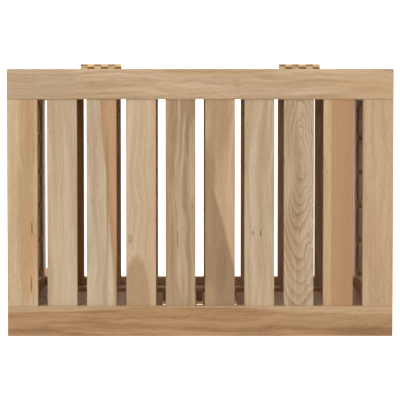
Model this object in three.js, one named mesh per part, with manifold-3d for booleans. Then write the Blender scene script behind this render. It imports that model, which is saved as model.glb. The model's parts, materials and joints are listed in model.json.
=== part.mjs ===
// A slatted teak laundry hamper with a hinged lid. Millimetres: X runs across the front, Y from
// front to back and Z up. The origin is on the floor, under the middle of the whole object.
import * as THREE from "three";
import { mergeVertices } from "three/addons/utils/BufferGeometryUtils.js";
import Module from "manifold-3d";

const wasm = await Module();
wasm.setup();

// Overall sizes
const WIDTH = 470;
const DEPTH = 326; // over the boards, without the hinge barrels
const HEIGHT = 500;

// Clearances
const JOINT_GAP = 0.3; // between two pieces that touch
const LID_GAP = 0.5; // between the closed lid and the box

// Rails of the four walls
const TOP_RAIL_HEIGHT = 37;
const BOTTOM_RAIL_HEIGHT = 60;
const FLOOR_CLEARANCE = 70; // under the bottom rails
const SLAT_SEAT = 9; // how far the ends of a slat go into the rails

// Side frames: two legs with rails and slats between them
const LEG_WIDTH = 40.3;
const LEG_THICKNESS = 15.2;
const SIDE_SLATS = 5;
const SIDE_SLAT_GAP = 7.4; // between two slats, and beside a leg
const SIDE_SLAT_THICKNESS = 9.6;

// Front and back frames, fitted between the legs
const STILE_WIDTH = 30.3;
const FRAME_THICKNESS = 23;
const LONG_SLATS = 8; // in the front, the back and the lid
const LONG_SLAT_GAP = 8.36;
const LONG_SLAT_THICKNESS = 13.6;

// Mortise and tenon joints between frame members
const TENON_LENGTH = 16;
const TENON_SHOULDER = 7; // wood left above and below the tenon, or beside it
const TENON_SHARE = 1 / 3; // of the thickness of the wood

// Bottom rack: slats let into two cleats
const BOTTOM_SLATS = 8;
const BOTTOM_SLAT_GAP = 12.2;
const BOTTOM_END_GAP = 15.2; // between a side frame and the slat next to it
const BOTTOM_SLAT_THICKNESS = 8;
const BOTTOM_SLAT_HOUSING = 1;
const CLEAT_WIDTH = 11.5;
const CLEAT_HEIGHT = 13;
const CLEAT_RISE = 2; // above the underside of the bottom rails

// Lid: two full-width rails, with stiles and slats between them
const LID_THICKNESS = 18;
const LID_BOARD_WIDTH = 37;
const LID_SLAT_GAP = 11.64;
const LID_SLAT_THICKNESS = 10;
const LID_SLAT_RECESS = 2; // below the top of the lid frame

// Butt hinges, lying between the lid and the back top rail
const HINGE_LENGTH = 50;
const HINGE_FROM_MIDDLE = 121; // to the middle of each hinge
const LEAF_DEPTH = 14; // from the barrel's axis
const LEAF_THICKNESS = 1.5;
const BARREL_RADIUS = 2.9;
const BARREL_OFFSET = 3; // barrel's axis behind the back faces
const PIN_RADIUS = 1.4;
const KNUCKLES = 6;
const ROUND_SIDES = 24;

// Places that follow from the sizes
const legHeight = HEIGHT - LID_THICKNESS - LID_GAP;
const frontY = -(DEPTH + BARREL_OFFSET + BARREL_RADIUS) / 2;
const backY = frontY + DEPTH;
const hinge = { x: [-HINGE_FROM_MIDDLE, HINGE_FROM_MIDDLE], y: backY + BARREL_OFFSET, z: legHeight + LID_GAP / 2 };
const insideX = WIDTH / 2 - LEG_THICKNESS - JOINT_GAP;
const backFrameY = backY - FRAME_THICKNESS;
const topRail = [legHeight - TOP_RAIL_HEIGHT, legHeight];
const bottomRail = [FLOOR_CLEARANCE, FLOOR_CLEARANCE + BOTTOM_RAIL_HEIGHT];

const teak = new THREE.MeshStandardMaterial({ color: 0xb59a7c, roughness: 0.62, metalness: 0 });
const brass = new THREE.MeshStandardMaterial({ color: 0xc9a063, roughness: 0.35, metalness: 1 });

// A closed geometry as a solid that can be joined and cut.
function solidOf(geometry) {
  geometry.deleteAttribute("normal");
  geometry.deleteAttribute("uv");
  const merged = mergeVertices(geometry, 1e-4);
  return new wasm.Manifold(
    new wasm.Mesh({
      numProp: 3,
      vertProperties: merged.attributes.position.array,
      triVerts: new Uint32Array(merged.index.array),
    }),
  );
}

// A rectangular block from its three spans, each [low, high].
function block(x, y, z) {
  const geometry = new THREE.BoxGeometry(x[1] - x[0], y[1] - y[0], z[1] - z[0]);
  geometry.translate((x[0] + x[1]) / 2, (y[0] + y[1]) / 2, (z[0] + z[1]) / 2);
  return solidOf(geometry);
}

// A round bar along the X axis.
function bar(x, radius) {
  const geometry = new THREE.CylinderGeometry(radius, radius, x[1] - x[0], ROUND_SIDES);
  geometry.rotateZ(Math.PI / 2);
  geometry.translate((x[0] + x[1]) / 2, 0, 0);
  return solidOf(geometry);
}

// The span of a width about a middle.
function about(middle, width) {
  return [middle - width / 2, middle + width / 2];
}

// A span made longer by the same amount at each end, or shorter when the amount is negative.
function grown(span, amount) {
  return [span[0] - amount, span[1] + amount];
}

function joined(bodies) {
  return bodies.reduce((whole, body) => whole.add(body));
}

function cut(body, tools) {
  return tools.reduce((rest, tool) => rest.subtract(tool), body);
}

// The spans of equal pieces that fill an opening, given the gap between two and the gap at the ends.
function spread(opening, count, gap, endGap = gap) {
  const width = (opening[1] - opening[0] - 2 * endGap - (count - 1) * gap) / count;
  return Array.from({ length: count }, (_, i) => {
    const low = opening[0] + endGap + i * (width + gap);
    return [low, low + width];
  });
}

// Adds a named mesh of a solid to a group.
function addPiece(group, name, body, material = teak) {
  const { vertProperties, triVerts } = body.getMesh();
  const shared = new THREE.BufferGeometry();
  shared.setAttribute("position", new THREE.BufferAttribute(vertProperties, 3));
  shared.setIndex(new THREE.BufferAttribute(triVerts, 1));
  const geometry = shared.toNonIndexed();
  geometry.computeVertexNormals();
  const mesh = new THREE.Mesh(geometry, material);
  mesh.name = name;
  group.add(mesh);
}

// A slatted frame standing in the X-Z plane, from y = 0 to the thickness of its uprights. The
// uprights run from the floor to the top. Two rails are tenoned into them, and the slats stand in
// a groove along each rail.
function standingFrame({ name, width, uprights, slats, railCuts = [] }) {
  const frame = new THREE.Group();
  const opening = [uprights.width, width - uprights.width];
  const middleY = uprights.thickness / 2;
  const tenonX = grown(opening, TENON_LENGTH);
  const tenonY = about(middleY, uprights.thickness * TENON_SHARE);
  const slatY = about(middleY, slats.thickness);
  const slatZ = [bottomRail[1] - SLAT_SEAT, topRail[0] + SLAT_SEAT];
  const slatsX = spread(opening, slats.count, slats.gap);
  const rails = [
    { name: `${name}_bottom_rail`, z: bottomRail, cuts: [] },
    { name: `${name}_top_rail`, z: topRail, cuts: railCuts },
  ];

  const mortises = rails.map((rail) =>
    block(
      grown(tenonX, JOINT_GAP),
      grown(tenonY, JOINT_GAP),
      grown(rail.z, JOINT_GAP - TENON_SHOULDER),
    ),
  );
  const uprightsX = [
    [0, uprights.width],
    [width - uprights.width, width],
  ];
  uprightsX.forEach((x, i) => {
    const board = block(x, [0, uprights.thickness], [0, legHeight]);
    addPiece(frame, uprights.names[i], cut(board, mortises));
  });

  const groove = block(opening, grown(slatY, JOINT_GAP), grown(slatZ, JOINT_GAP));
  for (const rail of rails) {
    const board = block(grown(opening, -JOINT_GAP), [0, uprights.thickness], rail.z);
    const tenons = block(tenonX, tenonY, grown(rail.z, -TENON_SHOULDER));
    addPiece(frame, rail.name, cut(board.add(tenons), [groove, ...rail.cuts]));
  }
  slatsX.forEach((x, i) => addPiece(frame, `${name}_slat_${i + 1}`, block(x, slatY, slatZ)));
  return frame;
}

// One side of the box, turned so that its first upright is at the front.
function sideFrame(side, outerX) {
  const frame = standingFrame({
    name: side,
    width: DEPTH,
    uprights: {
      names: [`${side}_front_leg`, `${side}_back_leg`],
      width: LEG_WIDTH,
      thickness: LEG_THICKNESS,
    },
    slats: { count: SIDE_SLATS, gap: SIDE_SLAT_GAP, thickness: SIDE_SLAT_THICKNESS },
  });
  frame.rotation.z = Math.PI / 2;
  frame.position.set(outerX, frontY, 0);
  return frame;
}

// The front or the back of the box, standing between the legs.
function longFrame(side, y, railCuts) {
  const frame = standingFrame({
    name: side,
    width: 2 * insideX,
    uprights: {
      names: [`${side}_left_stile`, `${side}_right_stile`],
      width: STILE_WIDTH,
      thickness: FRAME_THICKNESS,
    },
    slats: { count: LONG_SLATS, gap: LONG_SLAT_GAP, thickness: LONG_SLAT_THICKNESS },
    railCuts,
  });
  frame.position.set(-insideX, y, 0);
  return frame;
}

// The hollow for a leaf, about the hinge's own axis. side is 1 above the axis and -1 below it.
function leafRecess(side) {
  const depth = side * (BARREL_RADIUS + JOINT_GAP);
  return block(
    grown(about(0, HINGE_LENGTH), JOINT_GAP),
    [-LEAF_DEPTH - JOINT_GAP, 0],
    [Math.min(0, depth), Math.max(0, depth)],
  );
}

// The bottom rack, as one piece: the slats are nailed down into a cleat at each end.
function bottomRack() {
  const rack = new THREE.Group();
  const y = grown([frontY + FRAME_THICKNESS, backFrameY], -JOINT_GAP);
  const cleatZ = [FLOOR_CLEARANCE + CLEAT_RISE, FLOOR_CLEARANCE + CLEAT_RISE + CLEAT_HEIGHT];
  const slatLow = cleatZ[1] - BOTTOM_SLAT_HOUSING;
  const cleats = [
    block([-insideX, insideX], [y[0], y[0] + CLEAT_WIDTH], cleatZ),
    block([-insideX, insideX], [y[1] - CLEAT_WIDTH, y[1]], cleatZ),
  ];
  const slats = spread([-insideX, insideX], BOTTOM_SLATS, BOTTOM_SLAT_GAP, BOTTOM_END_GAP).map((x) =>
    block(x, y, [slatLow, slatLow + BOTTOM_SLAT_THICKNESS]),
  );
  addPiece(rack, "bottom_rack", joined([...cleats, ...slats]));
  return rack;
}

// The lid, about its hinge axis, so that turning the group opens it.
function lidFrame() {
  const lid = new THREE.Group();
  const x = about(0, WIDTH);
  const z = [LID_GAP / 2, LID_GAP / 2 + LID_THICKNESS];
  const back = -BARREL_OFFSET;
  const backRailY = [back - LID_BOARD_WIDTH, back];
  const frontRailY = [back - DEPTH, back - DEPTH + LID_BOARD_WIDTH];
  const opening = { x: grown(x, -LID_BOARD_WIDTH), y: [frontRailY[1], backRailY[0]] };
  const tenonY = grown(opening.y, TENON_LENGTH);
  const tenonZ = about((z[0] + z[1]) / 2, LID_THICKNESS * TENON_SHARE);
  const slatY = grown(opening.y, SLAT_SEAT);
  const slatZ = [z[1] - LID_SLAT_RECESS - LID_SLAT_THICKNESS, z[1] - LID_SLAT_RECESS];
  const slatsX = spread(opening.x, LONG_SLATS, LID_SLAT_GAP);
  const stiles = [
    { name: "lid_left_stile", x: [x[0], opening.x[0]] },
    { name: "lid_right_stile", x: [opening.x[1], x[1]] },
  ];

  const hollows = [
    ...stiles.map((stile) =>
      block(
        grown(stile.x, JOINT_GAP - TENON_SHOULDER),
        grown(tenonY, JOINT_GAP),
        grown(tenonZ, JOINT_GAP),
      ),
    ),
    ...slatsX.map((span) =>
      block(grown(span, JOINT_GAP), grown(slatY, JOINT_GAP), grown(slatZ, JOINT_GAP)),
    ),
  ];
  const recesses = hinge.x.map((middle) => leafRecess(1).translate([middle, 0, 0]));
  addPiece(lid, "lid_front_rail", cut(block(x, frontRailY, z), hollows));
  addPiece(lid, "lid_back_rail", cut(block(x, backRailY, z), [...hollows, ...recesses]));
  for (const stile of stiles) {
    const board = block(stile.x, grown(opening.y, -JOINT_GAP), z);
    const tenons = block(grown(stile.x, -TENON_SHOULDER), tenonY, tenonZ);
    addPiece(lid, stile.name, board.add(tenons));
  }
  slatsX.forEach((span, i) => addPiece(lid, `lid_slat_${i + 1}`, block(span, slatY, slatZ)));
  return lid;
}

// One leaf of a butt hinge, about the X axis. The leaf above the axis has the first, third and
// fifth knuckles; the one below has the others, and holds the pin.
function hingeLeaf(above) {
  const knuckle = HINGE_LENGTH / KNUCKLES;
  const spans = Array.from({ length: KNUCKLES }, (_, i) =>
    grown([i * knuckle - HINGE_LENGTH / 2, (i + 1) * knuckle - HINGE_LENGTH / 2], -JOINT_GAP / 2),
  );
  const own = spans.filter((_, i) => (i % 2 === 0) === above);
  const others = spans.filter((_, i) => (i % 2 === 0) !== above);
  const plateZ = above
    ? [BARREL_RADIUS - LEAF_THICKNESS, BARREL_RADIUS]
    : [-BARREL_RADIUS, LEAF_THICKNESS - BARREL_RADIUS];
  const plate = block(about(0, HINGE_LENGTH), [-LEAF_DEPTH, 0], plateZ);
  const notches = others.map((x) =>
    block(
      grown(x, JOINT_GAP),
      [-BARREL_RADIUS - JOINT_GAP, BARREL_RADIUS],
      grown([-BARREL_RADIUS, BARREL_RADIUS], JOINT_GAP),
    ),
  );
  const leaf = joined([cut(plate, notches), ...own.map((x) => bar(x, BARREL_RADIUS))]);
  const ends = about(0, HINGE_LENGTH - JOINT_GAP);
  return above ? leaf.subtract(bar(grown(ends, 1), PIN_RADIUS + JOINT_GAP)) : leaf.add(bar(ends, PIN_RADIUS));
}

const group = new THREE.Group();
group.name = "laundry_hamper";

const recesses = hinge.x.map((middle) =>
  leafRecess(-1).translate([middle + insideX, hinge.y - backFrameY, hinge.z]),
);
group.add(sideFrame("left", -WIDTH / 2 + LEG_THICKNESS));
group.add(sideFrame("right", WIDTH / 2));
group.add(longFrame("front", frontY, []));
group.add(longFrame("back", backFrameY, recesses));
group.add(bottomRack());

const lid = lidFrame();
lid.position.set(0, hinge.y, hinge.z);
group.add(lid);

hinge.x.forEach((middle, i) => {
  const side = ["left", "right"][i];
  const boxLeaf = new THREE.Group();
  boxLeaf.position.set(middle, hinge.y, hinge.z);
  addPiece(boxLeaf, `${side}_hinge_box_leaf`, hingeLeaf(false), brass);
  group.add(boxLeaf);
  const lidLeaf = new THREE.Group();
  lidLeaf.position.x = middle;
  addPiece(lidLeaf, `${side}_hinge_lid_leaf`, hingeLeaf(true), brass);
  lid.add(lidLeaf);
});

export default group;
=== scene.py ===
# %% [markdown]
# # A slatted teak laundry hamper
#
# The hamper is joiner's work: four slatted frames make the box, a rack of slats makes its bottom,
# and a slatted lid hangs on two brass butt hinges. The sizes, the joints and the hinge axis are
# already settled in a CAD model, which is loaded here as a fixed frame. This script makes what the
# CAD model leaves out: eased edges, real hinges with rolled knuckles and screws, the grain of every
# board, and the light.

# %% Load the frame
import json
import math
import random

import bpy
from mathutils import Matrix, Vector


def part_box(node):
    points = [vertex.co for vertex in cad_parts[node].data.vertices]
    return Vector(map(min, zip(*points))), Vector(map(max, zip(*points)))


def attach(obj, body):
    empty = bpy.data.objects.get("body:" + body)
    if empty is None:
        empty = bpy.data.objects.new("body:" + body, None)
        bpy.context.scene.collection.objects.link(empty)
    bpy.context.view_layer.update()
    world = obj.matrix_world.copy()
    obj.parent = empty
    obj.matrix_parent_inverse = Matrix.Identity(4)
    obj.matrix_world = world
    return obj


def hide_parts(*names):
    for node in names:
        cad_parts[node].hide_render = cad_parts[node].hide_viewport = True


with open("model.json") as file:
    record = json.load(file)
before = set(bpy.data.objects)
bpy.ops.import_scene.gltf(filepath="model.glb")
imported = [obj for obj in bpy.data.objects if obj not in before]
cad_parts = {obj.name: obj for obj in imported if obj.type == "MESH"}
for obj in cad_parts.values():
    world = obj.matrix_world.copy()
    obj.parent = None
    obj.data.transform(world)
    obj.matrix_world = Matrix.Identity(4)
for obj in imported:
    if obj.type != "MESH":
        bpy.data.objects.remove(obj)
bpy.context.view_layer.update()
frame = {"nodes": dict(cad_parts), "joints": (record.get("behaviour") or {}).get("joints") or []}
mm = 0.001
print("pieces in the frame:", len(frame["nodes"]))

# %% [markdown]
# ## Places
#
# A board's place could be typed in here, but it would be wrong as soon as the CAD model changed. So
# every place is read from the frame. A board's box runs to the ends of its tenons, so the visible
# part of a board is worked out from the boards that it meets.

# %% Read the boxes
boxes = {node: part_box(node) for node in frame["nodes"]}
hinge_axis = Vector(frame["joints"][0]["pos_m"])
lid_boxes = [box for node, box in boxes.items() if node.startswith("lid_")]
lid_low = Vector([min(low[i] for low, high in lid_boxes) for i in range(3)])
lid_high = Vector([max(high[i] for low, high in lid_boxes) for i in range(3)])
lid_middle = (lid_low + lid_high) / 2
print("lid, mm:", [round(v / mm, 1) for v in lid_high - lid_low])

# %% [markdown]
# ## Camera
#
# The hamper is seen from straight above. A camera close by with a wide lens would show the same
# lid, but the walls would splay out below it. So the camera stands high, with a long lens that
# keeps the lid's edges almost parallel. It stands nearer to the hinges than to the front, so it
# sees the inside of the front wall between the lid's slats, and it leans a little towards the
# front.

# %% Add the camera
CAMERA_HEIGHT = 2430 * mm  # above the lid's top
CAMERA_BEHIND = 134 * mm  # behind the middle of the lid
CAMERA_LEFT = 7.5 * mm
CAMERA_LEAN = math.radians(3.07)
CAMERA_TURN = math.radians(0.17)
LENS = 180  # with a sensor this wide, a long lens
SENSOR = 36
SIGHT = 20  # how far the camera sees, in metres

camera = bpy.data.objects.new("camera", bpy.data.cameras.new("camera"))
camera.data.lens = LENS
camera.data.sensor_width = SENSOR
camera.data.clip_end = SIGHT
camera.location = (
    lid_middle.x - CAMERA_LEFT,
    lid_middle.y + CAMERA_BEHIND,
    lid_high.z + CAMERA_HEIGHT,
)
camera.rotation_euler = (-CAMERA_LEAN, -CAMERA_TURN, 0)
bpy.context.scene.collection.objects.link(camera)
bpy.context.scene.camera = camera
print("camera, mm above the floor:", round(camera.location.z / mm))

# %% [markdown]
# ## Floor and light
#
# A white sweep under a soft tent of light. Lamps alone would leave the floor grey between the
# slats, so the floor glows a little, as a lit paper sweep does, and stays white there too. Most of
# the light comes evenly from all round, and a wide lamp above and behind the hamper gives the edges
# their direction.

# %% Add the floor
FLOOR_SIZE = 12
FLOOR_DROP = 0.5 * mm  # keeps the floor out of the plane of the feet
SWEEP_GLOW = 0.95

sweep = bpy.data.materials.new("white_sweep")
sweep.use_nodes = True
paper = sweep.node_tree.nodes["Principled BSDF"].inputs
paper["Base Color"].default_value = (0.8, 0.8, 0.8, 1)
paper["Roughness"].default_value = 0.9
paper["Emission Color"].default_value = (1, 1, 1, 1)
paper["Emission Strength"].default_value = SWEEP_GLOW

bpy.ops.mesh.primitive_plane_add(size=FLOOR_SIZE, location=(0, 0, -FLOOR_DROP))
floor = bpy.context.object
floor.name = "floor"
floor.data.materials.append(sweep)
print("floor, metres across:", FLOOR_SIZE)

# %% Add the lights
TENT_LIGHT = 0.72
LAMP_WATTS = 26
LAMP_SIZE = 1.6
LAMP_PLACE = Vector((-0.5, 1.5, 3.2))

world = bpy.data.worlds.new("light_tent")
world.use_nodes = True
tent = world.node_tree.nodes["Background"].inputs
tent["Color"].default_value = (1, 1, 1, 1)
tent["Strength"].default_value = TENT_LIGHT
bpy.context.scene.world = world

lamp_data = bpy.data.lights.new("lamp", "AREA")
lamp_data.shape = "DISK"
lamp_data.size = LAMP_SIZE
lamp_data.energy = LAMP_WATTS
lamp = bpy.data.objects.new("lamp", lamp_data)
lamp.location = LAMP_PLACE
lamp.rotation_euler = (lid_middle - LAMP_PLACE).to_track_quat("-Z", "Y").to_euler()
bpy.context.scene.collection.objects.link(lamp)
bpy.context.scene.view_settings.view_transform = "Standard"
print("lamp, metres from the lid:", round((LAMP_PLACE - lid_middle).length, 2))

# %% [markdown]
# ## Shader arithmetic
#
# Grain is a matter of distances. It could be wired by hand as a web of Math nodes, but a distance
# is easier to read as a formula. `Number` wraps a socket, so that `across * across` adds a Math
# node, and `Finish` is a material with one method that adds any other node.

# %% Wrap a socket
class Number:
    """A value in a shader. Arithmetic on it adds Math nodes."""

    def __init__(self, finish, socket):
        self.finish = finish
        self.socket = socket

    def __add__(self, other):
        return self.finish.maths("ADD", self, other)

    def __radd__(self, other):
        return self.finish.maths("ADD", other, self)

    def __sub__(self, other):
        return self.finish.maths("SUBTRACT", self, other)

    def __rsub__(self, other):
        return self.finish.maths("SUBTRACT", other, self)

    def __mul__(self, other):
        return self.finish.maths("MULTIPLY", self, other)

    def __rmul__(self, other):
        return self.finish.maths("MULTIPLY", other, self)

    def __truediv__(self, other):
        return self.finish.maths("DIVIDE", self, other)

    def __rtruediv__(self, other):
        return self.finish.maths("DIVIDE", other, self)

    def __pow__(self, other):
        return self.finish.maths("POWER", self, other)

    def __rpow__(self, other):
        return self.finish.maths("POWER", other, self)


print("reflected operators:", [name for name in vars(Number) if name.startswith("__r")])


# %% Wrap a material
class Finish:
    """A material built from nodes around one Principled shader."""

    def __init__(self, name, **surface):
        self.material = bpy.data.materials.new(name)
        self.material.use_nodes = True
        self.tree = self.material.node_tree
        self.surface = self.tree.nodes["Principled BSDF"]
        for socket, value in surface.items():
            self.surface.inputs[socket].default_value = value

    def node(self, kind, settings=None, inputs=None):
        """Adds a node: its settings first, then a value or a link for each socket named."""
        node = self.tree.nodes.new(kind)
        for key, value in (settings or {}).items():
            setattr(node, key, value)
        for key, value in (inputs or {}).items():
            self.put(node.inputs[key], value)
        return node

    def put(self, socket, value):
        """Sets a socket to a constant, or links a value to it."""
        if isinstance(value, Number):
            value = value.socket
        if isinstance(value, bpy.types.NodeSocket):
            self.tree.links.new(value, socket)
        else:
            socket.default_value = value

    def maths(self, operation, *values):
        """A Math node on one or two values."""
        node = self.node("ShaderNodeMath", {"operation": operation}, dict(enumerate(values)))
        return Number(self, node.outputs[0])

    def step(self, value, low, high):
        """0 below low, 1 above high, with a smooth slope between."""
        settings = {"interpolation_type": "SMOOTHSTEP"}
        inputs = {"Value": value, "From Min": low, "From Max": high}
        return Number(self, self.node("ShaderNodeMapRange", settings, inputs).outputs["Result"])

    def noise(self, vector, detail=2.0):
        """Soft noise, about 0.5."""
        inputs = {"Vector": vector, "Scale": 1.0, "Detail": detail, "Roughness": 0.5}
        return Number(self, self.node("ShaderNodeTexNoise", None, inputs).outputs[0])

    def vector(self, x, y, z):
        """Three values as one vector."""
        return self.node("ShaderNodeCombineXYZ", None, {"X": x, "Y": y, "Z": z}).outputs[0]

    def mixed(self, factor, first, second, way="MIX"):
        """Two colours mixed."""
        settings = {"data_type": "RGBA", "blend_type": way}
        return self.node("ShaderNodeMix", settings, {0: factor, 6: first, 7: second}).outputs[2]

    def relief(self, height, strength, distance):
        """Turns a height into small dents in the surface."""
        inputs = {"Strength": strength, "Distance": distance, "Height": height}
        bump = self.node("ShaderNodeBump", None, inputs)
        self.put(self.surface.inputs["Normal"], bump.outputs[0])


def colour(red, green, blue):
    """A colour as a paint chart gives it, 0 to 255, made linear for the shader."""
    linear = [((v / 255 + 0.055) / 1.055) ** 2.4 for v in (red, green, blue)]
    return (*linear, 1.0)


print("the chart's middle grey, made linear:", round(colour(128, 128, 128)[0], 3))

# %% [markdown]
# ## Teak
#
# A board is cut out of a trunk, and its grain is where its faces cut the growth rings. A picture of
# wood could be wrapped round each board, but it would break at the edges. So the teak is a solid
# pattern: each ring is a shell round the pith, a line that runs near the board, almost along it.
# Where the pith lies off to one side the rings show as straight lines, and where it passes under
# the face they show as arches.
#
# Three numbers place a point in a board, in millimetres: `along` the grain, `across` its width, and
# `deep`.

# %% Place the grain in a board
AXES = {"x": 0, "y": 1, "z": 2}
PLAIN_RINGS = {"pith": (-55, -20), "lean": 0.01, "spacing": 3.2, "strength": 0.25}
RING_SWAY = 9
FAINTEST_RING = 0.35
RING_EDGE = 0.12  # the part of a ring in which its line darkens
RING_FADE = 2.2
SWAY_UNDER = 0.4  # the part of the sway that moves a ring up and down
SEED_STEP = 7.3  # so that no two noises in a board are alike


class Grain(Finish):
    """A finish that knows where each point lies in a board."""

    def __init__(self, name, box, grain, width, seed):
        super().__init__(name, Roughness=0.6, IOR=1.45)
        middle = (box[0] + box[1]) / 2
        place = self.node("ShaderNodeTexCoord").outputs["Object"]
        centred = self.node("ShaderNodeMapping", None, {"Vector": place, "Location": -middle})
        split = self.node("ShaderNodeSeparateXYZ", None, {0: centred.outputs[0]}).outputs
        depth = (set("xyz") - {grain, width}).pop()
        self.along, self.across, self.deep = (
            Number(self, split[AXES[axis]]) / mm for axis in (grain, width, depth)
        )
        self.seed = seed

    def wood_noise(self, along, across, detail=2.0):
        """Noise drawn out along the grain, in features for each millimetre."""
        self.seed += SEED_STEP
        spot = self.vector(
            self.along * along + self.seed, self.across * across, self.deep * across
        )
        return self.noise(spot, detail)

    def sway(self, along, across, reach):
        """A slow wander to both sides, over reach in all."""
        return (self.wood_noise(along, across) - 0.5) * reach

    def ring_lines(self, pith, lean, spacing, strength, ripple=0):
        """How dark the rings make each point. pith is (across, deep), and lean its slope."""
        wander = self.sway(along=0.012, across=0.03, reach=RING_SWAY)
        if ripple:
            wander = wander + self.sway(along=0.035, across=0.09, reach=ripple)
        side = self.across - pith[0] + wander
        under = self.deep - pith[1] + self.along * lean + wander * SWAY_UNDER
        radius = (side * side + under * under) ** 0.5
        count = radius / spacing
        ring = self.maths("FRACT", count)
        age = self.maths("FLOOR", count)
        settings = {"noise_dimensions": "1D"}
        noise = self.node("ShaderNodeTexWhiteNoise", settings, {"W": age + self.seed})
        chance = Number(self, noise.outputs["Value"])
        weight = FAINTEST_RING + chance * (1 - FAINTEST_RING)
        edge = self.step(ring, 0.0, RING_EDGE) * (1 - ring) ** RING_FADE
        return edge * weight * strength


print("plain boards have a ring every", PLAIN_RINGS["spacing"], "mm")

# %% [markdown]
# Rings alone look printed. Over them lie long soft streaks, clouds and golden places, short open
# pores, bands of paler sapwood or darker heartwood, and patches such as a small knot. Each is a
# mask that mixes one more shade into the board's tone. The pores and the rings also dent the
# surface a little, and the pores are rougher.

# %% Colour the teak
RING_LINE = colour(196, 178, 160)
PORE = colour(150, 126, 104)
STREAK_SWAY = 26
STREAK_SHARE = 0.72  # the rest is fine fibre
STREAK_SLOPE = 0.17
CLOUD_SHARE = 0.4
GLOW_SHARE = 0.5
PORE_SHARE = 0.55
PLANED, FIBRE_ROUGH, PORE_ROUGH = 0.5, 0.2, 0.12  # how rough each one is
FIBRE_HEIGHT, PORE_DEPTH, RING_DEPTH = 0.4, 0.8, 0.8  # shares of the relief


def golden(shade):
    """The same shade a little warmer and yellower."""
    return (shade[0], shade[1] * 0.93, shade[2] * 0.8, 1.0)


class Teak(Grain):
    """The finish of one board, with the grain along one axis and the width along another."""

    def __init__(self, name, box, grain, width, pale, dark, seed, rings=None, streaks=1.0):
        super().__init__(name, box, grain, width, seed)
        straight = self.across
        self.across = straight + self.sway(along=0.009, across=0.02, reach=STREAK_SWAY)
        streak = self.wood_noise(along=0.005, across=0.15, detail=3.0)
        fine = self.wood_noise(along=0.03, across=1.1)
        mingled = streak * STREAK_SHARE + fine * (1 - STREAK_SHARE)
        darker = self.step(mingled, 0.5 - STREAK_SLOPE, 0.5 + STREAK_SLOPE)
        self.tone = self.mixed(darker, pale, dark)
        cloud = self.wood_noise(along=0.012, across=0.06)
        clouded = self.step(cloud, 0.5, 0.72) * CLOUD_SHARE * streaks
        self.tone = self.mixed(clouded, self.tone, dark)
        glow = self.wood_noise(along=0.007, across=0.2)
        glowing = self.step(glow, 0.55, 0.7) * GLOW_SHARE
        self.tone = self.mixed(glowing, self.tone, golden(pale))
        self.across = straight
        self.dark_ring = self.ring_lines(**{**PLAIN_RINGS, **(rings or {})})
        self.pores = self.step(self.wood_noise(along=0.12, across=2.6), 0.6, 0.72)

    def band(self, shade, edge, slope=0.0, soft=3.0, wander=3.0, side=1, amount=1.0):
        """A band of another colour on one side of a line that runs nearly along the board."""
        line = self.across - edge - self.along * slope
        line = line + self.sway(along=0.012, across=0.01, reach=wander * 2)
        mask = self.step(line * side, -soft, soft) * amount
        self.tone = self.mixed(mask, self.tone, shade)

    def patch(self, shade, along, across, length, width, soft=0.35, amount=1.0, ragged=0.5):
        """An oval patch of another colour."""
        away = ((self.along - along) / length) ** 2.0
        away = away + ((self.across - across) / width) ** 2.0
        away = away + self.sway(along=0.02, across=0.12, reach=ragged * 2)
        mask = (1 - self.step(away, 1 - soft, 1 + soft)) * amount
        self.tone = self.mixed(mask, self.tone, shade)

    def finished(self):
        """Puts the rings and pores over the tone, and gives the surface its relief."""
        tone = self.mixed(self.dark_ring, self.tone, RING_LINE, way="MULTIPLY")
        tone = self.mixed(self.pores * PORE_SHARE, tone, PORE, way="MULTIPLY")
        self.put(self.surface.inputs["Base Color"], tone)
        fibre = self.wood_noise(along=0.05, across=3.5)
        rough = PLANED + fibre * FIBRE_ROUGH + self.pores * PORE_ROUGH
        self.put(self.surface.inputs["Roughness"], rough)
        height = fibre * FIBRE_HEIGHT - self.pores * PORE_DEPTH - self.dark_ring * RING_DEPTH
        self.relief(height, strength=0.35, distance=0.2 * mm)
        return self.material


print("a ring's line lets through, of red, green and blue:", [round(v, 2) for v in RING_LINE[:3]])

# %% [markdown]
# ## Boards
#
# A board could be a cube with a Bevel modifier on it, but that would round the shoulders and the
# tenons too. So it is shaped in edit mode, as a joiner does it. It starts as a cube stretched to
# its box, its long arrises are eased with a bevel, as a pass of sandpaper does, and the tenons are
# drawn out of its ends. The mortises are cut last, with booleans, so their edges stay crisp.

# %% Start a board
def only(piece):
    """Deselects everything else and makes a piece active."""
    bpy.ops.object.select_all(action="DESELECT")
    piece.select_set(True)
    bpy.context.view_layer.objects.active = piece


def placed(piece):
    """Puts a piece's place, turn and size into its mesh."""
    only(piece)
    bpy.ops.object.transform_apply(location=True, rotation=True, scale=True)
    return piece


def block(name, low, high):
    """A cube stretched to a box."""
    bpy.ops.object.select_all(action="DESELECT")
    bpy.ops.mesh.primitive_cube_add(size=1, location=(Vector(low) + Vector(high)) / 2)
    piece = bpy.context.object
    piece.name = piece.data.name = name
    piece.scale = Vector(high) - Vector(low)
    return placed(piece)


def box_of(piece):
    """The lowest and highest corner of a piece."""
    places = [v.co for v in piece.data.vertices]
    low = Vector([min(p[i] for p in places) for i in range(3)])
    high = Vector([max(p[i] for p in places) for i in range(3)])
    return low, high


trial = block("trial", (0, 0, 0), (40 * mm, 300 * mm, 15 * mm))
print("a trial block, mm:", [round(v / mm, 1) for v in box_of(trial)[1]])
bpy.data.objects.remove(trial)

# %% [markdown]
# An edit-mode operator works on what is selected. By hand that is a click on an edge or a face. In
# code the faces and edges are found by a test on their place or direction.

# %% Select edges and faces
ON_EDGES = (False, True, False)
ON_FACES = (False, False, True)
NEARLY = 0.99  # how straight a face looks along an axis
HAIR = 0.01 * mm


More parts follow.
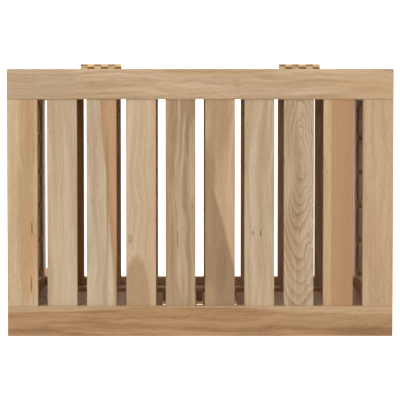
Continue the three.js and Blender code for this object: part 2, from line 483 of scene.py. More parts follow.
def select_parts(piece, mode, kind, test):
    """Selects the edges or faces that pass a test, and enters edit mode."""
    only(piece)
    bpy.context.tool_settings.mesh_select_mode = mode
    mesh = piece.data
    for parts in (mesh.vertices, mesh.edges, mesh.polygons):
        parts.foreach_set("select", [False] * len(parts))
    for part in getattr(mesh, kind):
        part.select = test(part)
    bpy.ops.object.mode_set(mode="EDIT")


def select_edges(piece, test):
    """Selects the edges whose two ends pass a test."""

    def passes(edge):
        return test(*(piece.data.vertices[v].co for v in edge.vertices))

    select_parts(piece, ON_EDGES, "edges", passes)


def select_faces(piece, test):
    """Selects the faces whose centre and normal pass a test."""
    select_parts(piece, ON_FACES, "polygons", lambda face: test(face.center, face.normal))


print("faces within this many degrees count as straight:", round(math.degrees(math.acos(NEARLY))))

# %% Ease the edges and draw the tenons
ARRIS = 1.0 * mm


def ease(piece, axis, ends=True):
    """Bevels the edges along an axis, and those round the ends too."""

    def wanted(a, b):
        return ends or abs((a - b)[axis]) > 2 * ARRIS

    select_edges(piece, wanted)
    bpy.ops.mesh.bevel(offset=ARRIS, segments=3, affect="EDGES")
    bpy.ops.object.mode_set(mode="OBJECT")


def draw_tenon(piece, axis, sign, length, share):
    """Draws a tenon out of one end. share is its part of the end, for each axis."""
    end = max(v.co[axis] * sign for v in piece.data.vertices)

    def is_end(centre, normal):
        return normal[axis] * sign > NEARLY and abs(centre[axis] * sign - end) < HAIR

    select_faces(piece, is_end)
    low, high = box_of(piece)
    middle = (low + high) / 2
    middle[axis] = end * sign
    reach = Vector((0, 0, 0))
    reach[axis] = length * sign
    bpy.ops.mesh.extrude_region_move()
    bpy.ops.transform.resize(value=share, center_override=middle)
    bpy.ops.mesh.extrude_region_move(TRANSFORM_OT_translate={"value": reach})
    bpy.ops.object.mode_set(mode="OBJECT")


print("arris, mm:", ARRIS / mm)

# %% Cut, smooth and copy
CREASE = math.radians(40)  # sharper edges stay crisp


def applied(piece, modifier):
    """Applies a modifier to its piece."""
    only(piece)
    bpy.ops.object.modifier_apply(modifier=modifier.name)


def cut_with(piece, cutter):
    """Cuts one piece with another, which is then removed."""
    cut = piece.modifiers.new("cut", "BOOLEAN")
    cut.operation = "DIFFERENCE"
    cut.solver = "EXACT"
    cut.object = cutter
    applied(piece, cut)
    bpy.data.objects.remove(cutter)


def carve(piece, hollows):
    """Cuts a list of boxes, each (low, high), out of a piece."""
    cutters = [block("cutter", low, high) for low, high in hollows]
    bpy.ops.object.select_all(action="DESELECT")
    for cutter in cutters:
        cutter.select_set(True)
    bpy.context.view_layer.objects.active = cutters[0]
    if len(cutters) > 1:
        bpy.ops.object.join()
    cut_with(piece, bpy.context.object)


def smooth(piece):
    """Rounds the shading of the eased edges and keeps the faces flat."""
    only(piece)
    bpy.ops.object.shade_smooth_by_angle(angle=CREASE)
    weighted = piece.modifiers.new("weighted", "WEIGHTED_NORMAL")
    weighted.keep_sharp = True
    applied(piece, weighted)


def copied(piece, name, shift):
    """A copy of a piece, with its own mesh, moved along."""
    copy = piece.copy()
    copy.data = piece.data.copy()
    copy.name = copy.data.name = name
    copy.data.transform(Matrix.Translation(shift))
    bpy.context.scene.collection.objects.link(copy)
    return copy


trial = block("trial", (0, 0, 0), (40 * mm, 40 * mm, 40 * mm))
carve(trial, [((10 * mm, 10 * mm, 10 * mm), (30 * mm, 30 * mm, 50 * mm))])
print("faces of a block with a blind mortise:", len(trial.data.polygons))
bpy.data.objects.remove(trial)

# %% [markdown]
# A frame member's box runs to the ends of its tenons, so its shoulders are given as the places
# where it meets its neighbours. The joints are close, but not gapless: a slit of a tenth of a
# millimetre catches a thin line of shadow, as a glued joint does.

# %% Tenoned boards and their mortises
SLIT = 0.1 * mm


def grown(box, amount=SLIT):
    """A box made larger all round."""
    margin = Vector((amount, amount, amount))
    return box[0] - margin, box[1] + margin


def copy_of(box):
    """A box whose corners can be moved."""
    return box[0].copy(), box[1].copy()


def tenoned_board(node, axis, shoulders, share):
    """A board with eased edges, and a tenon at each end. shoulders are its visible ends."""
    low, high = copy_of(boxes[node])
    lengths = (shoulders[0] - low[axis], high[axis] - shoulders[1])
    low[axis] = shoulders[0] + SLIT
    high[axis] = shoulders[1] - SLIT
    board = block(f"{node}_board", low, high)
    ease(board, axis, ends=False)
    for sign, length in zip((-1, 1), lengths):
        draw_tenon(board, axis, sign, length, share)
    return board


def mortise(node, axis, share):
    """The hollow that a board's tenons need, from end to end."""
    low, high = boxes[node]
    middle, half = (low + high) / 2, (high - low) / 2
    for i in range(3):
        if i != axis:
            half[i] *= share[i]
    return grown((middle - half, middle + half))


def whole_board(node, axis):
    """A board with eased edges all round."""
    board = block(f"{node}_board", *boxes[node])
    ease(board, axis)
    return board


print("slit at a joint, mm:", SLIT / mm)

# %% [markdown]
# A finished board still has to be told two things: which part of the hamper it moves with, and
# which CAD pieces it stands for, which are then hidden. One function says both, and smooths its
# shading, so that no board is forgotten.

# %% Settle and dress a piece
settled = []


def settle(piece, body, slot, *nodes):
    """Finishes a piece's shading, gives it its body and hides its nodes. slot is not used."""
    smooth(piece)
    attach(piece, body)
    if nodes:
        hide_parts(*nodes)
    settled.append(piece.name)


def dress(piece, finish):
    """Gives a piece one material."""
    piece.data.materials.clear()
    piece.data.materials.append(finish)


print("pieces settled so far:", len(settled))

# %% [markdown]
# ## The lid
#
# The two rails run the full width, and the stiles and slats are tenoned into them. One teak on every
# board would look like a print, because no two boards come from the same place in the log. So each
# has a finish of its own. The lists say what each one shows: its paler and darker tone, how its
# rings run, and the bands and patches on it. Places are in millimetres from the board's middle,
# along the grain and across it.

# %% Choose the lid's stiles
LID_STILES = {
    "lid_left_stile": {
        "tones": (colour(215, 188, 151), colour(188, 150, 105)),
        "streaks": 1.5,
        "bands": [
            {"shade": colour(214, 188, 152), "edge": -4, "side": -1, "soft": 5, "amount": 0.5},
        ],
        "patches": [
            {"shade": colour(188, 142, 98), "along": 95, "across": 9,
             "length": 60, "width": 6, "soft": 0.9,
             "amount": 0.55},
            {"shade": colour(188, 153, 106), "along": 0, "across": 4,
             "length": 80, "width": 10, "soft": 0.8,
             "amount": 0.7},
            {"shade": colour(202, 152, 104), "along": -62, "across": 9,
             "length": 60, "width": 8, "soft": 0.9,
             "amount": 0.55},
            {"shade": colour(212, 166, 118), "along": 18, "across": -12,
             "length": 46, "width": 2.6, "soft": 0.9,
             "amount": 0.7},
            {"shade": colour(206, 162, 114), "along": 92, "across": 2,
             "length": 34, "width": 1.8, "soft": 0.9,
             "amount": 0.7},
            {"shade": colour(146, 98, 58), "along": -31, "across": 11.5, "length": 8, "width": 0.8},
            {"shade": colour(142, 96, 58), "along": -100, "across": 10.5,
             "length": 11, "width": 0.8},
        ],
    },
    "lid_right_stile": {
        "tones": (colour(208, 178, 142), colour(190, 154, 114)),
        "bands": [{"shade": colour(204, 166, 124), "edge": 11, "soft": 4, "amount": 0.4}],
        "patches": [
            {"shade": colour(206, 162, 122), "along": -50, "across": -4,
             "length": 45, "width": 6, "amount": 0.5},
        ],
    },
}
print("stiles:", list(LID_STILES))

# %% Choose the lid's slats
LID_SLATS = [
    {"tones": (colour(212, 187, 156), colour(188, 160, 125))},
    {
        "tones": (colour(210, 188, 158), colour(186, 158, 126)),
        "bands": [
            {"shade": colour(184, 142, 100), "edge": 7.5, "slope": -0.075,
             "soft": 1.8, "wander": 3},
            {"shade": colour(204, 164, 122), "edge": 12.5, "slope": -0.075,
             "soft": 3, "wander": 3, "amount": 0.5},
        ],
        "patches": [
            {"shade": colour(164, 122, 82), "along": 10, "across": 7.2,
             "length": 85, "width": 1.4, "amount": 0.6},
        ],
        "streaks": 1.4,
    },
    {
        "tones": (colour(217, 191, 160), colour(196, 166, 130)),
        "bands": [
            {"shade": colour(210, 170, 134), "edge": 13.5, "soft": 2, "wander": 1, "amount": 0.8},
        ],
        "patches": [
            {"shade": colour(182, 145, 103), "along": -136, "across": -6.5,
             "length": 70, "width": 19,
             "soft": 0.2, "ragged": 0.3, "amount": 0.9},
            {"shade": colour(176, 152, 118), "along": -44, "across": -13,
             "length": 6, "width": 3.4, "amount": 0.7},
        ],
    },
    {
        "tones": (colour(200, 174, 140), colour(162, 128, 93)),
        "streaks": 2.0,
        "bands": [
            {"shade": colour(178, 145, 110), "edge": -10, "slope": -0.06,
             "side": -1, "soft": 6, "amount": 0.5},
        ],
        "patches": [
            {"shade": colour(172, 130, 92), "along": -55, "across": -10,
             "length": 40, "width": 2, "amount": 0.8},
            {"shade": colour(150, 122, 88), "along": -45, "across": -3.5,
             "length": 13, "width": 1, "amount": 0.8},
            {"shade": colour(152, 124, 88), "along": 82, "across": 8,
             "length": 26, "width": 1.6, "amount": 0.8},
            {"shade": colour(168, 130, 92), "along": 16, "across": 5,
             "length": 34, "width": 3.2, "amount": 0.8},
            {"shade": colour(164, 126, 90), "along": 96, "across": -11,
             "length": 30, "width": 3, "amount": 0.6},
        ],
    },
    {
        "tones": (colour(210, 180, 144), colour(184, 150, 112)),
        "bands": [
            {"shade": colour(160, 126, 92), "edge": -3, "slope": -0.26, "side": -1,
             "soft": 1.8, "amount": 0.9},
        ],
        "patches": [
            {"shade": colour(168, 132, 96), "along": 42, "across": -12,
             "length": 34, "width": 8, "soft": 0.9,
             "ragged": 1.2, "amount": 0.9},
            {"shade": colour(178, 143, 104), "along": 112, "across": -4,
             "length": 52, "width": 14, "soft": 0.9,
             "ragged": 1.2, "amount": 0.8},
            {"shade": colour(146, 114, 84), "along": -80, "across": 2,
             "length": 30, "width": 6, "soft": 0.9,
             "ragged": 1.0, "amount": 0.6},
            {"shade": colour(176, 142, 104), "along": -20, "across": -13,
             "length": 40, "width": 4, "soft": 0.9,
             "amount": 0.6},
            {"shade": colour(190, 156, 114), "along": -118, "across": -14,
             "length": 20, "width": 8, "soft": 0.9,
             "amount": 0.6},
        ],
    },
    {
        "tones": (colour(211, 186, 153), colour(184, 156, 122)),
        "streaks": 1.4,
        "patches": [
            {"shade": colour(142, 112, 82), "along": -37, "across": -7.5,
             "length": 3.2, "width": 0.8},
            {"shade": colour(138, 108, 78), "along": -37, "across": 1.5,
             "length": 3.6, "width": 0.9},
        ],
    },
    {
        "tones": (colour(206, 180, 148), colour(180, 148, 114)),
        "rings": {"pith": (1.0, -6.8), "lean": -0.19, "spacing": 3.0, "strength": 1.25, "ripple": 11},
        "streaks": 1.2,
    },
    {
        "tones": (colour(214, 182, 142), colour(196, 158, 115)),
        "bands": [
            {"shade": colour(190, 146, 103), "edge": -8.5, "soft": 0.9, "wander": 1},
            {"shade": colour(176, 132, 90), "edge": 6, "slope": 0.03,
             "soft": 6, "wander": 4, "amount": 0.4},
        ],
    },
]
print("slats:", len(LID_SLATS))

# %% Choose the lid's rails
LID_RAILS = {
    "lid_back_rail": {
        "tones": (colour(214, 185, 149), colour(186, 152, 114)),
        "rings": {"pith": (-5, -9), "lean": 0.03, "spacing": 4.6, "strength": 0.55, "ripple": 8},
        "patches": [
            {"shade": colour(192, 158, 110), "along": 15, "across": 15,
             "length": 70, "width": 3.6, "amount": 0.8},
            {"shade": colour(190, 164, 130), "along": -205, "across": 2,
             "length": 60, "width": 22, "amount": 0.6},
            {"shade": colour(206, 168, 126), "along": 205, "across": -6,
             "length": 45, "width": 20, "amount": 0.6},
        ],
        "streaks": 1.3,
    },
    "lid_front_rail": {
        "tones": (colour(190, 149, 105), colour(158, 115, 73)),
        "rings": {"pith": (-9, -12), "lean": -0.025, "spacing": 5, "strength": 0.5, "ripple": 8},
        "patches": [
            {"shade": colour(192, 152, 110), "along": 160, "across": 4,
             "length": 90, "width": 12, "amount": 0.6},
            {"shade": colour(202, 166, 126), "along": -235, "across": 19,
             "length": 150, "width": 8, "amount": 0.9},
            {"shade": colour(204, 168, 128), "along": 235, "across": 19,
             "length": 190, "width": 10, "amount": 0.9},
            # This patch is a painted highlight: a thin paler line along the rail's inner arris, where
            # light from behind catches the edge.
            {"shade": colour(198, 162, 122), "along": 0, "across": 20,
             "length": 200, "width": 3.4, "amount": 0.8},
        ],
        "streaks": 1.8,
    },
}
print("boards in the lid:", len(LID_STILES) + len(LID_SLATS) + len(LID_RAILS))


# %% Make a finish from a look
def lid_teak(node, grain, width, look, seed):
    """The finish of one of the lid's boards."""
    wood = Teak(
        f"teak_{node}", boxes[node], grain, width, *look["tones"], seed,
        rings=look.get("rings"), streaks=look.get("streaks", 1.0),
    )
    for band in look.get("bands", []):
        wood.band(**band)
    for patch in look.get("patches", []):
        wood.patch(**patch)
    return wood.finished()


looks = [*LID_STILES.values(), *LID_SLATS, *LID_RAILS.values()]
for kind in ("bands", "patches"):
    print(kind, "on the lid:", sum(len(look.get(kind, [])) for look in looks))

# %% Make the lid's slats
SLAT_SEEDS, STILE_SEED, RAIL_SEED, SEED_GAP = 10.0, 100.0, 200.0, 9
lid_slats = [f"lid_slat_{i + 1}" for i in range(len(LID_SLATS))]
first = whole_board(lid_slats[0], 1)
for i, node in enumerate(lid_slats):
    shift = boxes[node][0] - boxes[lid_slats[0]][0]
    slat = copied(first, f"{node}_board", shift) if i else first
    dress(slat, lid_teak(node, "y", "x", LID_SLATS[i], SLAT_SEEDS * i))
    settle(slat, "lid", "lid_slats", node)
print("slats in the lid:", len(lid_slats))

# %% Make the lid's stiles
front_rail, back_rail = boxes["lid_front_rail"], boxes["lid_back_rail"]
STILE_SHARE = (23 / 37, 1, 1 / 3)  # the tenon's part of a stile's end
for i, (node, look) in enumerate(LID_STILES.items()):
    stile = tenoned_board(node, 1, (front_rail[1].y, back_rail[0].y), STILE_SHARE)
    dress(stile, lid_teak(node, "y", "x", look, STILE_SEED + SEED_GAP * i))
    settle(stile, "lid", "lid_frame", node)
print("stiles, mm between the rails:", round((back_rail[0].y - front_rail[1].y) / mm, 1))

# %% Make the lid's rails
RECESS_MARGIN = 0.15 * mm
RECESS_PAST_PIN = 1 * mm
hinge_leaves = [node for node in boxes if node.endswith("_leaf")]


def hinge_recesses(body):
    """The hollows that the leaves of one body lie in, a little larger than the leaves."""
    hollows = []
    for node in hinge_leaves:
        low, high = copy_of(boxes[node])
        if body not in node:
            continue
        if body == "lid":
            low.z = hinge_axis.z - RECESS_PAST_PIN
        else:
            high.z = hinge_axis.z + RECESS_PAST_PIN
        hollows.append(grown((low, high), RECESS_MARGIN))
    return hollows


for i, (node, look) in enumerate(LID_RAILS.items()):
    rail = whole_board(node, 0)
    slat_ends = [grown(boxes[slat]) for slat in lid_slats]
    carve(rail, slat_ends + [mortise(stile, 1, STILE_SHARE) for stile in LID_STILES])
    if node == "lid_back_rail":
        carve(rail, hinge_recesses("lid"))
    dress(rail, lid_teak(node, "x", "y", look, RAIL_SEED + SEED_GAP * i))
    settle(rail, "lid", "lid_frame", node)
    print(node, "has", len(rail.data.polygons), "faces")

# %% [markdown]
# ## The box
#
# Each wall is a frame: two uprights that stand on the floor, two rails tenoned between them, and
# slats that stand in a groove along each rail. The groove is ploughed from end to end, so it shows
# as a dark hole between two slats. The slats of a wall are one board, copied. Most of each wall is
# in shade, so these boards need no marks of their own. Their tones vary as a stack of boards does,
# and are drawn at random, with a seed so that each run draws the same.

# %% Tones for the walls
STACK_SEED = 7
FLAT_SAWN = 0.4  # the part of the boards with arches on their face
HEARTED = 0.45  # the part with a band of heartwood
stack = random.Random(STACK_SEED)


def wall_rings():
    """How the rings of a board from the stack run."""
    pith_side = stack.choice((-1, 1))
    flat_sawn = stack.random() < FLAT_SAWN
    if flat_sawn:
        pith = (pith_side * stack.uniform(2, 12), -stack.uniform(8, 22))
    else:
        pith = (pith_side * stack.uniform(45, 80), -stack.uniform(10, 40))
    tilt = 0.09 if flat_sawn else 0.02
    return {
        "pith": pith,
        "lean": stack.uniform(-tilt, tilt),
        "spacing": stack.uniform(3, 4.4),
        "strength": 0.75 if flat_sawn else 0.3,
    }


def wall_teak(node, grain, width):
    """The finish of a board from the stack, a little lighter or darker, warmer or cooler."""
    warmth = stack.uniform(-1, 1)
    light = stack.uniform(-1, 1)
    pale = colour(215 + 6 * light, 188 + 5 * light - 5 * warmth, 157 + 4 * light - 9 * warmth)
    dark = colour(190 + 9 * light, 158 + 8 * light - 6 * warmth, 122 + 7 * light - 9 * warmth)
    rings = wall_rings()
    wood = Teak(
        f"teak_{node}", boxes[node], grain, width, pale, dark,
        stack.uniform(0, 900), rings=rings, streaks=stack.uniform(0.8, 2),
    )
    if stack.random() < HEARTED:
        side = stack.choice((-1, 1))
        heart = colour(184 + 4 * light, 142 + 4 * light, 101)
        edge = side * stack.uniform(3, 10)
        wood.band(heart, edge, stack.uniform(-0.03, 0.03), side=side, soft=1.5)
    return wood.finished()


print("the stack's seed:", STACK_SEED)

# %% Set out the walls
WALLS = {
    "front": {"uprights": ("front_left_stile", "front_right_stile"), "along": 0},
    "back": {"uprights": ("back_left_stile", "back_right_stile"), "along": 0},
    "left": {"uprights": ("left_front_leg", "left_back_leg"), "along": 1},
    "right": {"uprights": ("right_front_leg", "right_back_leg"), "along": 1},
}
TENON_SHOULDER = 7 * mm


def rail_share(node, along):
    """The tenon's part of a rail's end: a third of its thickness, and shoulders on its height."""
    height = boxes[node][1].z - boxes[node][0].z
    share = [1 / 3, 1 / 3, 1 - 2 * TENON_SHOULDER / height]
    share[along] = 1
    return share


def groove(slats, shoulders, along):
    """The groove along both rails that the slats stand in."""
    low, high = copy_of(boxes[slats[0]])
    low[along], high[along] = shoulders
    return grown((low, high))


share = rail_share("front_bottom_rail", 0)
print("a bottom rail's tenon takes this part of its height:", round(share[2], 2))

# %% Build the four walls
for side, wall in WALLS.items():
    along = wall["along"]
    across_name = "xyz"[along]
    rails = (f"{side}_bottom_rail", f"{side}_top_rail")
    slats = sorted(node for node in boxes if node.startswith(f"{side}_slat_"))
    near, far = (boxes[upright] for upright in wall["uprights"])
    shoulders = (near[1][along], far[0][along])
    hollows = [mortise(rail, along, rail_share(rail, along)) for rail in rails]
    for node in wall["uprights"]:
        upright = whole_board(node, 2)
        carve(upright, hollows)
        dress(upright, wall_teak(node, "z", across_name))
        settle(upright, "box", "box_frame", node)
    for node in rails:
        rail = tenoned_board(node, along, shoulders, rail_share(node, along))
        carve(rail, [groove(slats, shoulders, along)])
        if node == "back_top_rail":
            carve(rail, hinge_recesses("box"))
        dress(rail, wall_teak(node, across_name, "z"))
        settle(rail, "box", "box_frame", node)
    first = whole_board(slats[0], 2)
    for node in slats:
        shift = boxes[node][0] - boxes[slats[0]][0]
        slat = first if node == slats[0] else copied(first, f"{node}_board", shift)
        dress(slat, wall_teak(node, "z", across_name))
        settle(slat, "box", "wall_slats", node)
    print(side, "wall:", len(slats), "slats")

# %% [markdown]
# ## The bottom rack
#
# Eight boards lie on two cleats that are screwed to the front and back rails. In the frame the rack
# is a single piece, which could stay as it is, but then its boards would share one finish and have
# no eased edges. So they are set out here again inside that piece's box, about its middle.

# %% Lay the rack's boards
RACK_BOARDS = 8
RACK_BOARD_WIDTH = 40.4 * mm
RACK_BOARD_GAP = 12.2 * mm
RACK_BOARD_THICKNESS = 8 * mm
rack_low, rack_high = boxes["bottom_rack"]
pitch = RACK_BOARD_WIDTH + RACK_BOARD_GAP
first_x = (rack_low.x + rack_high.x + RACK_BOARD_GAP - RACK_BOARDS * pitch) / 2
boards_low = rack_high.z - RACK_BOARD_THICKNESS
first_low = Vector((first_x, rack_low.y, boards_low + SLIT))
first_high = Vector((first_x + RACK_BOARD_WIDTH, rack_high.y, rack_high.z))
for i in range(RACK_BOARDS):
    name = f"bottom_slat_{i + 1}"
    shift = Vector((i * pitch, 0, 0))
    boxes[name] = (first_low + shift, first_high + shift)
    if i == 0:
        board = first = whole_board(name, 1)
    else:
        board = copied(first, f"{name}_board", shift)
    dress(board, wall_teak(name, "y", "x"))
    settle(board, "box", "bottom_rack", "bottom_rack")
print("the rack's first board starts at x, mm:", round(first_x / mm, 1))

# %% Fix the rack's cleats
CLEAT_WIDTH = 11.5 * mm
cleat_places = {"front_cleat": rack_low.y, "back_cleat": rack_high.y - CLEAT_WIDTH}
for name, y in cleat_places.items():
    low = Vector((rack_low.x, y, rack_low.z))
    boxes[name] = (low, Vector((rack_high.x, y + CLEAT_WIDTH, boards_low - SLIT)))
    cleat = whole_board(name, 0)
    dress(cleat, wall_teak(name, "x", "y"))
    settle(cleat, "box", "bottom_rack", "bottom_rack")
print("cleats, mm long:", round((rack_high.x - rack_low.x) / mm, 1))

# %% [markdown]
# ## Brass
#
# The hinges are stamped from brass sheet. A plain gold colour would look like plastic, because a
# metal is mostly what it reflects. Rolled and tumbled sheet has a fine scratch along its length,
# and handling leaves it cloudy, so the roughness varies as well as the colour.

# %% Make the brass
TARNISH = colour(170, 134, 90)
TARNISH_SHARE = 0.5
CLOUD_SIZE = 0.25  # clouds for each millimetre
SCRATCH = (0.4, 9, 9)  # scratches for each millimetre, drawn out along x


def brass(name, tone):
    """Worn brass, with its scratches along the hinge."""
    finish = Finish(name, Metallic=1.0)
    place = finish.node("ShaderNodeTexCoord").outputs["Object"]
    split = finish.node("ShaderNodeSeparateXYZ", None, {0: place}).outputs
    spot = [Number(finish, split[i]) / mm for i in range(3)]
    scratch = finish.noise(finish.vector(*(v * s for v, s in zip(spot, SCRATCH))), 3.0)
    cloud = finish.noise(finish.vector(*(v * CLOUD_SIZE for v in spot)))
    tarnish = finish.step(cloud, 0.42, 0.66) * TARNISH_SHARE
    shade = finish.mixed(tarnish, tone, TARNISH)
    finish.put(finish.surface.inputs["Base Color"], shade)
    rough = 0.36 + cloud * 0.16 + scratch * 0.12
    finish.put(finish.surface.inputs["Roughness"], rough)
    finish.relief(scratch, strength=0.12, distance=0.05 * mm)
    return finish.material


leaf_brass = brass("brass_leaf", colour(206, 177, 136))
pin_brass = brass("brass_pin", colour(200, 168, 124))
screw_brass = brass("brass_screw", colour(204, 174, 128))
print("nodes in the brass:", len(leaf_brass.node_tree.nodes))

# %% [markdown]
# ## Hinges
#
# A leaf is a strip of sheet with fingers on one edge, each rolled round the pin. A plate with a
# cylinder beside it would look right from far off, but would show no open roll at its ends. So the
# leaf is modelled the way it is made: a flat plate, its fingers drawn out to the line of the pin,
# and then spun round that line until they nearly close.

# %% Cut and roll a leaf
SHEET = 1.5 * mm
KNUCKLES = 6
KNUCKLE_SLIT = 0.15 * mm
PLATE_GAP = 0.3 * mm  # between the plate and the barrel
ROLL = math.radians(292)
ROLL_STEPS = 28


def barrel_radius(node):
    """The outer radius of a hinge's barrel."""
    return (boxes[node][1].z - boxes[node][0].z) / 2


def rolled_leaf(node, sign):
    """A leaf without its holes. Its sheet lies above the pin if sign is 1, or below it if -1."""
    low, high = boxes[node]
    radius = barrel_radius(node)
    faces = sorted((hinge_axis.z + sign * radius, hinge_axis.z + sign * (radius - SHEET)))
    edge = hinge_axis.y - radius - PLATE_GAP
    plate = block(f"{node}_plate", (low.x, low.y, faces[0]), (high.x, edge, faces[1]))
    step = (high.x - low.x) / KNUCKLES
    for i in range(1, KNUCKLES):
        for side in (-1, 1):
            only(plate)
            bpy.ops.object.mode_set(mode="EDIT")
            bpy.ops.mesh.select_all(action="SELECT")
            place = (low.x + i * step + side * KNUCKLE_SLIT / 2, 0, 0)
            bpy.ops.mesh.bisect(plane_co=place, plane_no=(1, 0, 0))
            bpy.ops.object.mode_set(mode="OBJECT")
    first_finger = 0 if sign > 0 else 1

    def is_finger(centre, normal):
        place = (centre.x - low.x) / step
        in_slit = abs(place - round(place)) * step < KNUCKLE_SLIT
        return normal.y > 0.9 and int(place) % 2 == first_finger and not in_slit

    select_faces(plate, is_finger)
    reach = (0, hinge_axis.y - edge, 0)
    bpy.ops.mesh.extrude_region_move(TRANSFORM_OT_translate={"value": reach})
    bpy.ops.mesh.spin(steps=ROLL_STEPS, angle=-sign * ROLL, center=hinge_axis, axis=(1, 0, 0))
    bpy.ops.mesh.select_all(action="SELECT")
    bpy.ops.mesh.remove_doubles(threshold=0.001 * mm)
    bpy.ops.mesh.normals_make_consistent(inside=False)
    bpy.ops.object.mode_set(mode="OBJECT")
    return plate


print("barrels, mm across:", [round(2 * barrel_radius(node) / mm, 1) for node in hinge_leaves])

# %% [markdown]
# Each leaf has three holes, countersunk so that the screw heads lie flush. A cone a little larger
# than the screw is cut out of the plate. It is drawn out past both faces first, because a cutter
# whose face lies in the plate's own face leaves a torn edge.

# %% Drill and soften a leaf
SCREW_HEAD = 2.5 * mm
SCREW_SHANK = 1.2 * mm
SCREW_SIDES = 32
SCREWS_PER_LEAF = 3
HOLE_MARGIN = 0.1 * mm
PAST_THE_FACE = 0.2 * mm
LEAF_ARRIS = 0.12 * mm


def screw_places(node):
    """Where the screws of a leaf stand, along x, and their common y."""
    low, high = boxes[node]
    length = high.x - low.x
    spots = [low.x + length * (i + 0.5) / SCREWS_PER_LEAF for i in range(SCREWS_PER_LEAF)]
    return spots, (low.y + hinge_axis.y - barrel_radius(node)) / 2


def hole_cutter(place, sign):
    """A cone that is wide on the side where the screw's head goes."""
    bpy.ops.object.select_all(action="DESELECT")
    narrow, wide = SCREW_SHANK + HOLE_MARGIN, SCREW_HEAD + HOLE_MARGIN
    ends = (wide, narrow) if sign > 0 else (narrow, wide)
    bpy.ops.mesh.primitive_cone_add(
        vertices=SCREW_SIDES, radius1=ends[0], radius2=ends[1], depth=SHEET, location=place
    )
    cutter = placed(bpy.context.object)
    select_faces(cutter, lambda centre, normal: abs(normal.z) > NEARLY)
    bpy.ops.mesh.extrude_faces_move(TRANSFORM_OT_shrink_fatten={"value": PAST_THE_FACE})
    bpy.ops.object.mode_set(mode="OBJECT")
    return cutter


def leaf(node, sign):
    """One leaf of a hinge."""
    plate = rolled_leaf(node, sign)
    spots, y = screw_places(node)
    inner = hinge_axis.z + sign * (barrel_radius(node) - SHEET)
    for x in spots:
        cut_with(plate, hole_cutter((x, y, inner + sign * SHEET / 2), sign))
    soften = plate.modifiers.new("soften", "BEVEL")
    soften.width = LEAF_ARRIS
    soften.segments = 2
    soften.limit_method = "ANGLE"
    soften.angle_limit = CREASE
    applied(plate, soften)
    return plate


first_leaf = hinge_leaves[0]
spots, y = screw_places(first_leaf)
leaf_end = boxes[first_leaf][0].x
print("screws, mm from the leaf's end:", [round((x - leaf_end) / mm, 1) for x in spots])

# %% Make a pin
PIN_PLAY = 0.05 * mm
PIN_SHORTER = 0.2 * mm  # than its barrel
PIN_ROUND = 0.35 * mm


def pin(node):
    """A straight pin with rounded ends, held in the knuckles."""
    low, high = boxes[node]
    bpy.ops.object.select_all(action="DESELECT")
    bpy.ops.mesh.primitive_cylinder_add(
        vertices=SCREW_SIDES,
        radius=barrel_radius(node) - SHEET - PIN_PLAY,
        depth=high.x - low.x - PIN_SHORTER,
        rotation=(0, math.radians(90), 0),
        location=((low.x + high.x) / 2, hinge_axis.y, hinge_axis.z),
    )
    rod = placed(bpy.context.object)
    rod.name = rod.data.name = node.replace("_box_leaf", "_pin")
    select_edges(rod, lambda a, b: abs(a.x - b.x) < HAIR)
    bpy.ops.mesh.bevel(offset=PIN_ROUND, segments=3, affect="EDGES")
    bpy.ops.object.mode_set(mode="OBJECT")
    return rod


pin_radius = barrel_radius(first_leaf) - SHEET - PIN_PLAY
print("pins, mm thick:", round(2 * pin_radius / mm, 1))

# %% [markdown]
# A countersunk screw is a cone with a nearly flat head, a cross cut in it, and a tapering shank.
# Its thread is hidden in the wood, so it has none. One screw is modelled at the origin, head up,
# and a copy is set into each hole, turned over for the lid.

# %% Make a screw
SHANK_LENGTH = 9 * mm
TIP_LENGTH = 1.6 * mm
HEAD_RINGS = ((0.5 * mm, 0.16 * mm), (0.7 * mm, 0.1 * mm))  # inset, and rise
CROSS_ARM, CROSS_HALF, CROSS_DEPTH = 1.35 * mm, 0.28 * mm, 0.7 * mm
PAST_THE_HEAD = 1 * mm


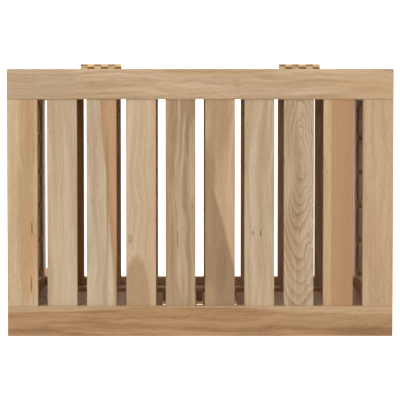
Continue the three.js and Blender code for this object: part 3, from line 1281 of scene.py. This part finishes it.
def screw_pattern():
    """A screw with its head's rim at the origin's level."""
    bpy.ops.object.select_all(action="DESELECT")
    bpy.ops.mesh.primitive_cone_add(
        vertices=SCREW_SIDES, radius1=SCREW_SHANK, radius2=SCREW_HEAD, depth=SHEET,
        location=(0, 0, -SHEET / 2),
    )
    screw = placed(bpy.context.object)
    screw.name = screw.data.name = "screw_pattern"
    select_faces(screw, lambda centre, normal: normal.z > NEARLY)
    for inset, rise in HEAD_RINGS:
        bpy.ops.mesh.inset(thickness=inset)
        bpy.ops.transform.translate(value=(0, 0, rise))
    bpy.ops.object.mode_set(mode="OBJECT")
    select_faces(screw, lambda centre, normal: normal.z < -NEARLY)
    tip = (0, 0, -SHEET - SHANK_LENGTH)
    for length, taper in ((SHANK_LENGTH, 0.75), (TIP_LENGTH, 0.08)):
        bpy.ops.mesh.extrude_region_move(TRANSFORM_OT_translate={"value": (0, 0, -length)})
        bpy.ops.transform.resize(value=(taper, taper, 1), center_override=tip)
    bpy.ops.object.mode_set(mode="OBJECT")
    for x, y in ((CROSS_ARM, CROSS_HALF), (CROSS_HALF, CROSS_ARM)):
        carve(screw, [((-x, -y, -CROSS_DEPTH), (x, y, PAST_THE_HEAD))])
    return screw


pattern = screw_pattern()
print("a screw, mm long:", round((box_of(pattern)[1].z - box_of(pattern)[0].z) / mm, 1))

# %% Fit the hinges
FIRST_TURN, SCREW_TURN, LEAF_TURN = 17, 31, 11  # degrees: no two screws end at the same turn
for count, node in enumerate(hinge_leaves):
    body = "lid" if "lid" in node else "box"
    sign = 1 if body == "lid" else -1
    plate = leaf(node, sign)
    dress(plate, leaf_brass)
    settle(plate, body, "hinges", node)
    spots, y = screw_places(node)
    over = Matrix.Rotation(math.pi if sign > 0 else 0, 4, "X")
    level = hinge_axis.z + (barrel_radius(node) - SHEET) * sign
    for i, x in enumerate(spots):
        screw = copied(pattern, f"{node}_screw_{i + 1}", (0, 0, 0))
        degrees = FIRST_TURN + SCREW_TURN * i + LEAF_TURN * count
        turn = Matrix.Rotation(math.radians(degrees), 4, "Z")
        screw.data.transform(Matrix.Translation((x, y, level)) @ over @ turn)
        dress(screw, screw_brass)
        settle(screw, body, "hinges")
    if body == "box":
        rod = pin(node)
        dress(rod, pin_brass)
        settle(rod, body, "hinges", node)
bpy.data.objects.remove(pattern)
print("pieces settled:", len(settled))

# %% [markdown]
# ## Finish
#
